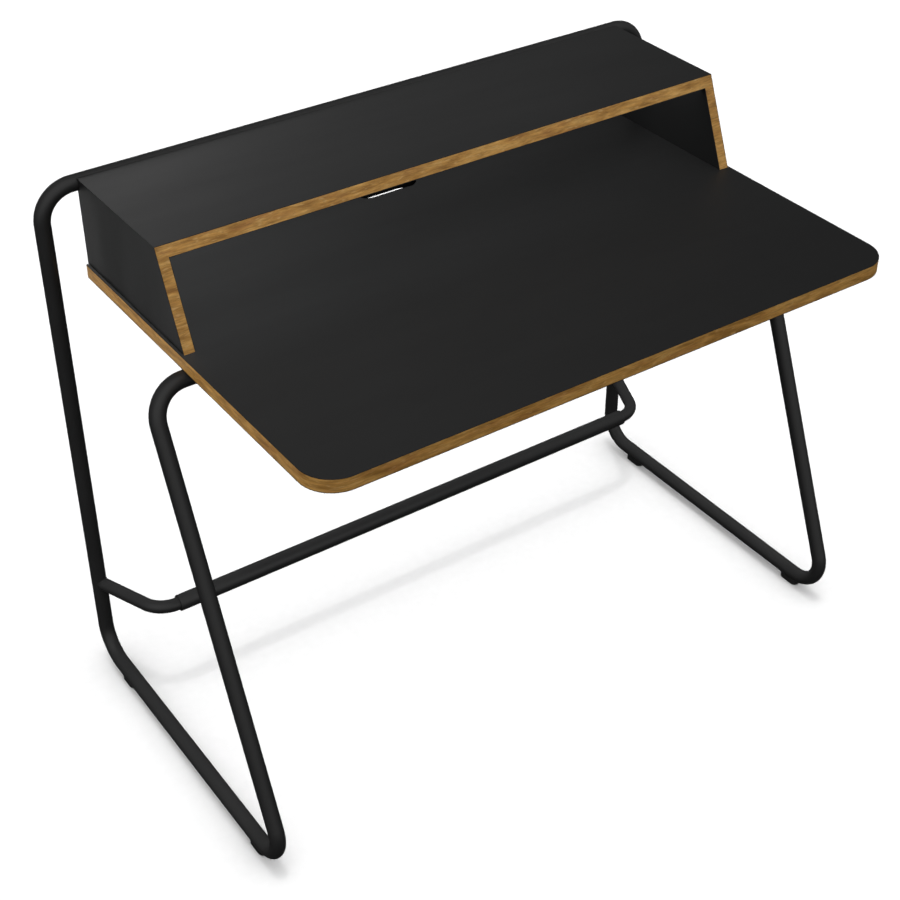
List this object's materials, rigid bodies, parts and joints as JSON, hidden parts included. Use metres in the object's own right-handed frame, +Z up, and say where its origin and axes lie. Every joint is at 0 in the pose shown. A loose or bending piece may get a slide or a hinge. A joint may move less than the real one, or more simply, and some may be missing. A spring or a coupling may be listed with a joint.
{
  "type": "writing desk",
  "caption": "Writing desk with an open shelf box along the rear, black laminate faces and oak edges, on a closed bent-tube frame with a footrest stretcher.",
  "frame": {"origin": "on the floor under the centre of the desk's bounding box", "axes": "+X along the width to the sitter's right, +Y to the rear, +Z up"},
  "size_m": [1.133, 0.686, 0.9035],
  "materials": {
    "tube_black": "satin black powder coat",
    "oak": "clear matt lacquer, straight grain",
    "laminate_black": "matt black laminate with a fine texture",
    "back_black": "matt black faced board",
    "plastic_black": "moulded, fine spark texture",
    "zinc": "zinc plated",
    "plywood": "raw birch plywood"
  },
  "bodies": {
    "root": {"frame_left": "tube_black", "frame_right": "tube_black", "stretcher_arm_left": "tube_black", "stretcher_arm_right": "tube_black", "stretcher_sleeve": "tube_black", "desktop_core": "oak", "box_top_core": "oak", "box_left_core": "oak", "box_right_core": "oak", "desktop_laminate_upper": "laminate_black", "desktop_laminate_lower": "laminate_black", "box_top_laminate_outer": "laminate_black", "box_top_laminate_inner": "laminate_black", "box_left_laminate_outer": "laminate_black", "box_left_laminate_inner": "laminate_black", "box_right_laminate_outer": "laminate_black", "box_right_laminate_inner": "laminate_black", "box_back_panel": "back_black", "glide_front_left": "plastic_black", "glide_front_right": "plastic_black", "glide_rear_left": "plastic_black", "glide_rear_right": "plastic_black", "slot_liner": "plastic_black", "rail_spigot_rear": "zinc", "rail_spigot_front": "zinc", "sleeve_grub_screw_left": "zinc", "sleeve_grub_screw_right": "zinc", "front_rail_bolt_1": "zinc", "front_rail_bolt_2": "zinc", "front_rail_bolt_3": "zinc", "front_rail_bolt_4": "zinc", "desk_insert_1": "zinc", "desk_insert_2": "zinc", "desk_insert_3": "zinc", "desk_insert_4": "zinc", "rear_rail_screw_1": "zinc", "rear_rail_screw_2": "zinc", "rear_rail_screw_3": "zinc", "rear_rail_screw_4": "zinc", "box_screw_left_1": "zinc", "box_screw_left_2": "zinc", "box_screw_right_1": "zinc", "box_screw_right_2": "zinc", "mitre_spline_left": "plywood", "mitre_spline_right": "plywood"}
  },
  "joints": []
}
